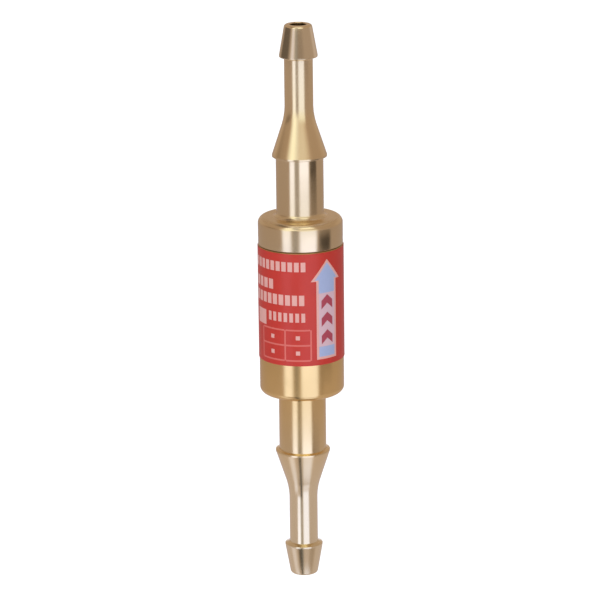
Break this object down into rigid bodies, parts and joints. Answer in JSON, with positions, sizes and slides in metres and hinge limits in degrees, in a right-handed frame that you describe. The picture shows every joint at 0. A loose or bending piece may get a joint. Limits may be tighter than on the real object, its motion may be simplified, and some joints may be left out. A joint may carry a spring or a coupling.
{
  "type": "flashback arrestor",
  "caption": "Slender turned brass in-line gas fitting with a labelled cylindrical body, stepped hose barbs at both ends, and a sprung poppet and sintered flame barrier inside.",
  "frame": {"origin": "centre of the inlet's end face, at the bottom", "axes": "+Z along the fitting's axis in the direction of gas flow, from the inlet to the outlet; -Y faces the front of the label"},
  "size_m": [0.0186, 0.0186, 0.1232],
  "materials": {
    "turned_brass": "bright turned",
    "label_film": "satin printed film",
    "nitrile_rubber": "matte",
    "stainless_mesh": "woven wire",
    "spring_steel": "drawn wire",
    "sintered_steel": "sintered, matte",
    "fibre_gasket": "matte fibre"
  },
  "bodies": {
    "housing": {"inlet_body": "turned_brass", "outlet_cap": "turned_brass", "cap_o_ring": "nitrile_rubber", "label": "label_film", "inlet_filter": "stainless_mesh", "filter_ring": "turned_brass", "valve_seat": "turned_brass", "seat_o_ring": "nitrile_rubber", "return_spring": "spring_steel", "valve_guide": "turned_brass", "spacer_sleeve": "turned_brass", "sinter_holder": "turned_brass", "sinter_element": "sintered_steel", "lower_gasket": "fibre_gasket", "upper_gasket": "fibre_gasket"},
    "poppet": {"valve_poppet": "turned_brass", "poppet_seal": "nitrile_rubber", "seal_retainer": "turned_brass"}
  },
  "joints": [
    {"name": "poppet_lift", "type": "slide", "parent": "housing", "child": "poppet", "axis": [0, 0, 1], "range_m": [0, 0.0018], "stiffness_N_per_m": 120, "springref_m": -0.0015, "deforming": ["return_spring"]}
  ]
}
